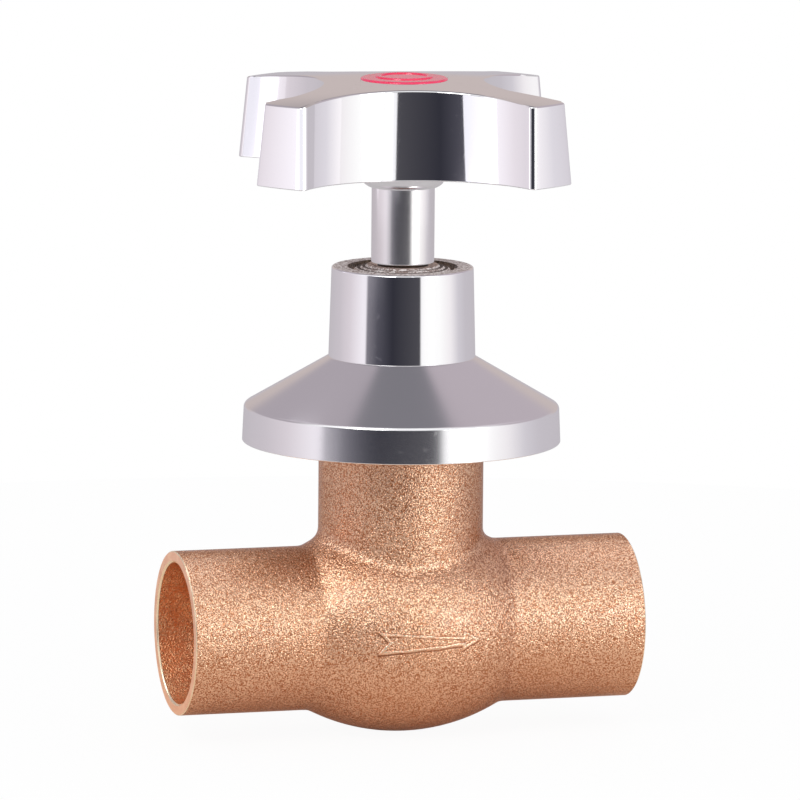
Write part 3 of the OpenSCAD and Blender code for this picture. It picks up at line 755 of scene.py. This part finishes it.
# Each corner of the tooth has its distance from the axis and its height as a share of the pitch.
TOOTH = [(8.66, -0.42), (8.24, -0.06), (8.24, 0.06), (8.66, 0.42)]
thread = bmesh.new()
thread.faces.new([thread.verts.new(at(reach, THREAD_FOOT + up * PITCH)) for reach, up in TOOTH])
bmesh.ops.spin(thread, geom=all_of(thread), cent=STEM, axis=UP, angle=2 * pi * TURNS,
               steps=STEPS_A_TURN * TURNS, dvec=UP * (PITCH * MM / STEPS_A_TURN))
close_gap(thread)
bmesh.ops.recalc_face_normals(thread, faces=list(thread.faces))
publish(thread, "sleeve_thread", [nut_brass], "sleeve", None)

# %% [markdown]
# The gland nut sits in the sleeve's mouth and squeezes the packing on the stem. It is bar stock with
# six flats, a plain foot in the bonnet, and two turned steps on top. Their slopes are pale, which also
# paints their highlight, and the flat steps between are near black, which is painted shade. It could be
# a bevelled prism, but cutting six flats off a turned blank gives the curved lines where chamfer and
# flats meet, as the real cut does.

# %% Gland nut
STEM_BORE = 4.05
NUT_FOOT = 50.5
NUT_R = 7.95
NUT_FLATS = 7.4
NUT_TURN = -9
SLOPES_BEYOND = 5.0
STEPS_BEYOND = 5.7
BLANK = [(STEM_BORE, 46.0, 0.1), (6.0, 46.0, 0.15), (6.0, NUT_FOOT, 0), (NUT_R, NUT_FOOT, 0),
         (NUT_R, 56.5, 0), (7.2, 57.0, 0.08), (6.7, 57.0, 0), (6.4, 57.25, 0.05), (5.9, 57.25, 0),
         (5.6, 57.5, 0.05), (4.5, 57.5, 0), (STEM_BORE, 57.1, 0)]
blank = bmesh.new()
section(blank, BLANK, 96)
for flat in range(6):
    way = Matrix.Rotation(radians(NUT_TURN + 60 * flat), 3, "Z") @ Vector((1, 0, 0))
    bmesh.ops.bisect_plane(blank, geom=all_of(blank), plane_co=STEM + way * NUT_FLATS * MM, plane_no=way,
                           clear_outer=True)
    close_gap(blank)
bmesh.ops.recalc_face_normals(blank, faces=list(blank.faces))
# The slopes get the pale faced brass, which also paints their highlight, and the flat steps painted shade.
for face in blank.faces:
    reach = reach_of(face.calc_center_median())
    if 0.3 < face.normal.z < 0.95 and reach > SLOPES_BEYOND:
        face.material_index = 1
    elif face.normal.z > 0.95 and reach > STEPS_BEYOND:
        face.material_index = 2
publish(blank, "gland_hexagon", [nut_brass, sawn, shade_brass], "body", "gland_nut", sharp=20)

# %% [markdown]
# The stem's cover is a plain satin tube that ends just above the gland nut, and the hub stands on it
# with a flared collar. The handle's cross seats on that collar. Both are lathe work, so the same helper
# makes them.

# %% Stem cover and hub
TUBE_FOOT = 57.9
TUBE_TOP = 69.85
TUBE_R = 4.975
HANDLE_FOOT = 72.4
TUBE = [(STEM_BORE, TUBE_FOOT, 0.15), (TUBE_R, TUBE_FOOT, 0.2), (TUBE_R, TUBE_TOP, 0),
        (STEM_BORE, TUBE_TOP, 0)]
HUB = [(STEM_BORE, TUBE_TOP, 0), (5.4, TUBE_TOP, 0.3), (6.3, 70.45, 0.35), (6.7, 71.9, 0.05),
       (6.4, HANDLE_FOOT, 0), (6.0, HANDLE_FOOT, 0), (6.0, 79.5, 0.3), (STEM_BORE, 79.5, 0.2)]
tube = bmesh.new()
section(tube, TUBE, 128)
flatten(publish(tube, "stem_cover", [satin], "stem", "stem_tube"))
boss = bmesh.new()
section(boss, HUB, 128)
flatten(publish(boss, "handle_collar", [satin], "stem", "handle_hub"))

# %% [markdown]
# The handle is a cross with four lobes and a round hollow between each pair. Its outline is only arcs:
# the tip's, a small corner's and the hollow's. Single vertices spun about three centres draw an eighth
# of it, a mirror makes a quarter, and three turned copies close the loop. Loops at each height are then
# bridged.

# %% Handle outline
HOLLOW_AT = 32.559
HOLLOW_R = 19.709
HANDLE_TURN = radians(-11)


def handle_place(height):
    """Puts what is drawn at the origin at a height of the handle, turned as the handle is."""
    return Matrix.Translation(at(0, height)) @ Matrix.Rotation(HANDLE_TURN, 4, "Z")


def cross_loop(shape, height, tip, corner, inset):
    """Adds one closed outline of the cross at a height, and gives its edges, all in mm."""
    draft = bmesh.new()
    middle = Vector((HOLLOW_AT, 0, 0))
    hollow = HOLLOW_R + inset
    near = tip - corner
    reach = (near ** 2 + HOLLOW_AT ** 2 - (hollow + corner) ** 2) / (2 * HOLLOW_AT)
    pivot = Vector((reach, sqrt(near ** 2 - reach ** 2), 0))
    out = atan2(pivot.y, pivot.x)
    into = atan2(-pivot.y, HOLLOW_AT - pivot.x)
    start = draft.verts.new((tip * cos(pi / 4), tip * sin(pi / 4), 0))
    arcs = [((0, 0, 0), out - pi / 4, 6), (pivot, into - out, 6), (middle, -into, 26)]
    for centre, angle, steps in arcs:
        step = bmesh.ops.spin(draft, geom=[start], cent=centre, axis=UP, angle=angle, steps=steps)
        start = [v for v in step["geom_last"] if isinstance(v, bmesh.types.BMVert)][0]
    bmesh.ops.mirror(draft, geom=all_of(draft), matrix=Matrix(), merge_dist=1e-4, axis="Y")
    quarter = all_of(draft)
    for count in range(1, 4):
        copy = bmesh.ops.duplicate(draft, geom=quarter)
        moved = [v for v in copy["geom"] if isinstance(v, bmesh.types.BMVert)]
        bmesh.ops.rotate(draft, verts=moved, cent=(0, 0, 0), matrix=Matrix.Rotation(pi / 2 * count, 3, "Z"))
    bmesh.ops.remove_doubles(draft, verts=list(draft.verts), dist=1e-4)
    place = handle_place(height) @ Matrix.Scale(MM, 4)
    bmesh.ops.transform(draft, matrix=place, verts=list(draft.verts))
    return add_wire(shape, draft)


def add_wire(shape, draft):
    """Moves a drafted wire into a shape, and gives its edges there."""
    mesh = bpy.data.meshes.new("draft")
    draft.to_mesh(mesh)
    draft.free()
    before = set(shape.edges)
    shape.from_mesh(mesh)
    bpy.data.meshes.remove(mesh)
    return [e for e in shape.edges if e not in before]


def round_loop(shape, height, radius, count):
    """Adds a circle round the stem, and gives its edges."""
    place = handle_place(height)
    hoop = bmesh.ops.create_circle(shape, segments=count, radius=radius * MM, matrix=place)
    return list(dict.fromkeys(e for v in hoop["verts"] for e in v.link_edges))


print("outline helpers ready")

# %% [markdown]
# The loops go round the section of the handle: up the outer wall, over the top, down the recess of the
# index button and the bore, out round the boss, and back along the inside of the thin wall. The edges are
# then bevelled, the wide faces of the top are divided, and the top is crowned by lowering it with the
# square of the distance from the stem.

# %% Handle
TOP = 86.9
CEILING = 81.8
RECESS_FLOOR = 83.55
RECESS_R = 7.3
HUB_R = 6.05
BOSS_R = 8.3
cross = bmesh.new()
outer_low = cross_loop(cross, HANDLE_FOOT, tip=30.65, corner=0.95, inset=-0.55)
outer_top = cross_loop(cross, TOP, tip=29.65, corner=0.95, inset=0.0)
inner_top = cross_loop(cross, CEILING, tip=27.8, corner=0.4, inset=2.0)
inner_low = cross_loop(cross, HANDLE_FOOT, tip=28.45, corner=0.4, inset=1.65)
count = len(outer_low)
ROUNDS = [(TOP, RECESS_R), (RECESS_FLOOR, RECESS_R), (RECESS_FLOOR, HUB_R), (HANDLE_FOOT, HUB_R),
          (HANDLE_FOOT, BOSS_R), (CEILING, BOSS_R)]
rounds = [round_loop(cross, height, radius, count) for height, radius in ROUNDS]
recess_top = rounds[0]
loops = [outer_low, outer_top, *rounds, inner_top, inner_low]
for first, second in zip(loops, loops[1:] + loops[:1]):
    bmesh.ops.bridge_loops(cross, edges=first + second)
bmesh.ops.recalc_face_normals(cross, faces=list(cross.faces))
for edges, size in ((outer_top, 0.3), (outer_low, 0.2), (recess_top, 0.12)):
    bmesh.ops.bevel(cross, geom=edges, offset=size * MM, offset_type="OFFSET", segments=4, profile=0.5,
                    affect="EDGES", material=-1)
print("outline vertices", count)

# %% [markdown]
# The crown is a parabola, which is as good as a sphere over so small a rise. Only the top and what lies
# outside the boss are lowered, less and less down the wall, so the foot of the handle stays flat.

# %% Crown
CROWN_R = 259.4
CROWN_FOOT = 78.0
TOP_ABOVE = 84.0
BOSS_CLEAR = 10.0
SPOKE_MIN = 2.5
flat_edges = [e for e in cross.edges if abs(e.verts[0].co.z - e.verts[1].co.z) < 1e-8]
top_edges = [e for e in flat_edges if all(abs(v.co.z - TOP * MM) < 1e-7 for v in e.verts)]
spokes = [e for e in top_edges if e.calc_length() > SPOKE_MIN * MM]
bmesh.ops.subdivide_edges(cross, edges=spokes, cuts=7, use_grid_fill=True)
for vert in cross.verts:
    reach = reach_of(vert.co)
    share = min(max((vert.co.z / MM - CROWN_FOOT) / (TOP - CROWN_FOOT), 0.0), 1.0)
    if vert.co.z > TOP_ABOVE * MM or reach > BOSS_CLEAR:
        vert.co.z -= share * reach ** 2 / (2 * CROWN_R) * MM
flatten(publish(cross, "cross_handle", [chrome], "stem", "handle", sharp=40))
print("divided edges", len(spokes))

# %% [markdown]
# The index button is a shallow moulding pressed into the handle. It is round, so it is spun like the lathe
# work. Its face carries a plain raised ring, and a thin skirt below holds it in the bore.

# %% Index button
BUTTON_FACE = 87.15
RING_TOP = 87.45
BUTTON = [(0, 84.85, 0), (4.95, 84.85, 0), (4.95, 81.95, 0.1), (5.95, 81.95, 0.1), (5.95, RECESS_FLOOR, 0),
          (6.9, 83.6, 0), (6.9, BUTTON_FACE, 0.36), (4.6, BUTTON_FACE, 0), (4.5, RING_TOP, 0.12),
          (3.7, RING_TOP, 0.12), (3.6, BUTTON_FACE, 0), (0, BUTTON_FACE, 0)]
button = bmesh.new()
section(button, BUTTON, 128)
flatten(publish(button, "index_cap", [red], "stem", "index_button"))

# %% [markdown]
# The body is one casting: a barrel belly on a straight run, with a neck that flows into it. The packed
# solid already has the rolling fillet between them, so its mesh is copied and merged. A voxel remesh
# then gives the even skin of a casting. The ends are drawn out first, so that they can be cut off flat
# after it.

# %% Casting skin
DRAWN_OUT = 2.0
END_WITHIN = 0.05
VOXEL = 0.5
source = bmesh.new()
source.from_mesh(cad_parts["valve_body"].data)
bmesh.ops.remove_doubles(source, verts=list(source.verts), dist=1e-6)
for vert in source.verts:
    if vert.co.x < END_WITHIN * MM:
        vert.co.x -= DRAWN_OUT * MM
    elif vert.co.x > (RUN - END_WITHIN) * MM:
        vert.co.x += DRAWN_OUT * MM
rough_mesh = bpy.data.meshes.new("rough_casting")
source.to_mesh(rough_mesh)
source.free()
rough = bpy.data.objects.new("rough_casting", rough_mesh)
bpy.context.scene.collection.objects.link(rough)
even = rough.modifiers.new("even_skin", "REMESH")
even.mode = "VOXEL"
even.voxel_size = VOXEL * MM
skin_mesh = bpy.data.meshes.new_from_object(rough.evaluated_get(bpy.context.evaluated_depsgraph_get()))
bpy.data.objects.remove(rough)
casting = bmesh.new()
casting.from_mesh(skin_mesh)
for round_of_smoothing in range(3):
    bmesh.ops.smooth_vert(casting, verts=list(casting.verts), factor=0.5, use_axis_x=True, use_axis_y=True,
                          use_axis_z=True)
print("cast skin", len(casting.faces), "faces")

# %% [markdown]
# Each end is cut off flat, which opens the socket's wall, and a bridge from the bore to the outside makes
# the faced ring. Its two edges get a small chamfer, as a lathe leaves them, and each kind of face gets its
# own finish. A Boolean would cut as well, but a plane leaves cleaner edges to bevel.

# %% Faced ends
SOCKET_DEPTH = 19.2
SOCKET_WITHIN = 11.5
MID_WALL = 12.0
BORE_CHAMFER = 0.32
OUTSIDE_CHAMFER = 0.15
for end, way in ((0.0, -1), (RUN, 1)):
    bmesh.ops.bisect_plane(casting, geom=all_of(casting), plane_co=(end * MM, 0, 0), plane_no=(way, 0, 0),
                           clear_outer=True)
    ring = bmesh.ops.bridge_loops(casting, edges=[e for e in casting.edges if e.is_boundary])
    for face in ring["faces"]:
        face.material_index = 1
    ring_edges = dict.fromkeys(e for f in ring["faces"] for e in f.edges)
    broken = [e for e in ring_edges if len({f.material_index for f in e.link_faces}) > 1]
    bore = [e for e in broken if e.verts[0].co.yz.length < MID_WALL * MM]
    outside = [e for e in broken if e.verts[0].co.yz.length > MID_WALL * MM]
    for edges, size in ((bore, BORE_CHAMFER), (outside, OUTSIDE_CHAMFER)):
        chamfer = bmesh.ops.bevel(casting, geom=edges, offset=size * MM, offset_type="OFFSET", segments=1,
                                  profile=0.5, affect="EDGES", material=-1)
        # The chamfers' pale finish is partly a painted highlight.
        for face in chamfer["faces"]:
            face.material_index = 3
bmesh.ops.recalc_face_normals(casting, faces=list(casting.faces))
for face in casting.faces:
    middle = face.calc_center_median()
    near_end = not SOCKET_DEPTH * MM < middle.x < (RUN - SOCKET_DEPTH) * MM
    if face.material_index == 0 and near_end and middle.yz.length < SOCKET_WITHIN * MM:
        face.material_index = 2
casting_finishes = [bronze, faced, bored, highlit_cut]
body = publish(casting, "bronze_casting", casting_finishes, "body", "valve_body",
               sharp=40, mirrored=True)

# %% [markdown]
# Four soft panels light the casting alone. A wide one above gives the top of the run its bright skin, one
# high on the left shows in the fillet under the neck, a small one behind on the left shows in the faced
# end, and a weak warm one in front warms the shaded side. Chrome would show them as bars, so light
# linking keeps them to the casting, as a screen in the studio would.

# %% Casting panels
lit = bpy.data.collections.new("lit_casting")
lit.objects.link(body)


def casting_panel(name, centre, size, radiance, colour=WHITE):
    """A lamp for the casting alone, at (aside, ahead, height) in metres from the stem's foot."""
    power = pi * size[0] * size[1] * radiance
    lamp = flat_lamp(name, "RECTANGLE", size, power, colour, aimed(from_foot(*centre), STEM))
    lamp.visible_camera = False
    lamp.light_linking.receiver_collection = lit


casting_panel("top_panel", (-0.12, -0.22, 0.60), (1.1, 0.55), radiance=1.0)
casting_panel("left_panel", (-0.52, -0.07, 0.62), (0.42, 0.42), radiance=2.2)
casting_panel("end_panel", (-0.39, -0.6, -0.08), (0.25, 0.25), radiance=0.45)
casting_panel("warm_panel", (-0.14, 0.55, -0.05), (0.8, 0.35), radiance=0.07, colour=(1, 0.36, 0.14))

# %% [markdown]
# A raised arrow on the belly shows the way of the flow. It is only an outline, as thin as the pattern
# maker's gouge left it, rubbed bright on top, where the paler colour also paints its highlight, with a
# near-black band below it that is painted shadow. The flat outline is drawn as one face, inset to a band,
# raised, and then laid on the belly, which is a barrel of one large arc. The shadow band is the same
# band, lower and a little further down.

# %% Flow arrow
ARROW = [(-8.3, 1.75), (5.45, 0.6), (5.5, 1.6), (8.6, 0.0), (5.3, -1.75), (5.4, -0.9), (-8.35, -1.9),
         (-6.6, 0.1)]
BELLY_ARC = 32.0
BELLY_IN = 15.0
ROOT = 0.3
# The hand-cut pattern wavers: each pair is a height in mm and a rate in radians to the mm.
WAVER = [(0.06, 3.1), (0.04, 8.3)]


def arrow_band(name, finish, wide, proud, drop):
    """The arrow's outline as a band that stands proud of the belly, in mm."""
    band = bmesh.new()
    corners = [band.verts.new((x * MM, (z - drop) * MM, 0)) for x, z in ARROW]
    sheet = band.faces.new(corners)
    bmesh.ops.recalc_face_normals(band, faces=[sheet])
    bmesh.ops.inset_region(band, faces=[sheet], use_boundary=True, use_even_offset=True,
                           thickness=wide * MM, depth=0)
    bmesh.ops.delete(band, geom=[sheet], context="FACES_ONLY")
    raised = bmesh.ops.extrude_face_region(band, geom=list(band.faces), use_keep_orig=True)
    lifted = [v for v in raised["geom"] if isinstance(v, bmesh.types.BMVert)]
    bmesh.ops.translate(band, verts=lifted, vec=UP * ((ROOT + proud) * MM))
    bmesh.ops.recalc_face_normals(band, faces=list(band.faces))
    creases = [e for e in band.edges if e.calc_face_angle() > 1.0]
    rims = [e for e in creases if all(v.co.z > 0.2 * MM for v in e.verts)]
    bmesh.ops.bevel(band, geom=rims, offset=0.3 * wide * MM, offset_type="OFFSET", segments=3, profile=0.5,
                    affect="EDGES", material=-1)
    long_edges = [e for e in band.edges if e.calc_length() > 0.9 * MM]
    bmesh.ops.subdivide_edges(band, edges=long_edges, cuts=9, use_grid_fill=True)
    for vert in band.verts:
        along, up, top = vert.co
        up += sum(size * sin(along / MM * rate) for size, rate in WAVER) * MM
        stand = sqrt((BELLY_ARC * MM) ** 2 - along ** 2) - BELLY_IN * MM - ROOT * MM + top
        vert.co = (STEM.x + along, -sqrt(stand ** 2 - up ** 2), up)
    bmesh.ops.recalc_face_normals(band, faces=list(band.faces))
    publish(band, name, [finish], "body", None, sharp=60)


arrow_band("flow_arrow", rubbed_highlit, wide=0.55, proud=0.34, drop=0.0)
# The dark band below the ridge is painted shadow.
arrow_band("arrow_shadow_band", shadow_bronze, wide=0.32, proud=0.05, drop=0.30)

# %% [markdown]
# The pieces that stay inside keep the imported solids. They only need the right finish, and a sharp edge
# here and there is what a turned brass piece has.

# %% Inside pieces
INSIDE = [(brass, ["seat_ring", "bonnet", "packing_washer", "gland_ring", "disc_holder", "washer_plate",
                   "washer_screw", "stem"]),
          (satin, ["screw_washer", "handle_screw"]), (fibre, ["bonnet_gasket"]),
          (plait, ["packing_rings"]), (rubber, ["seat_washer"])]
for finish, names in INSIDE:
    for name in names:
        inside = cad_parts[name]
        inside.data.materials.clear()
        inside.data.materials.append(finish)
        inside.visible_glossy = False
    print(finish.name, "on", ", ".join(names))
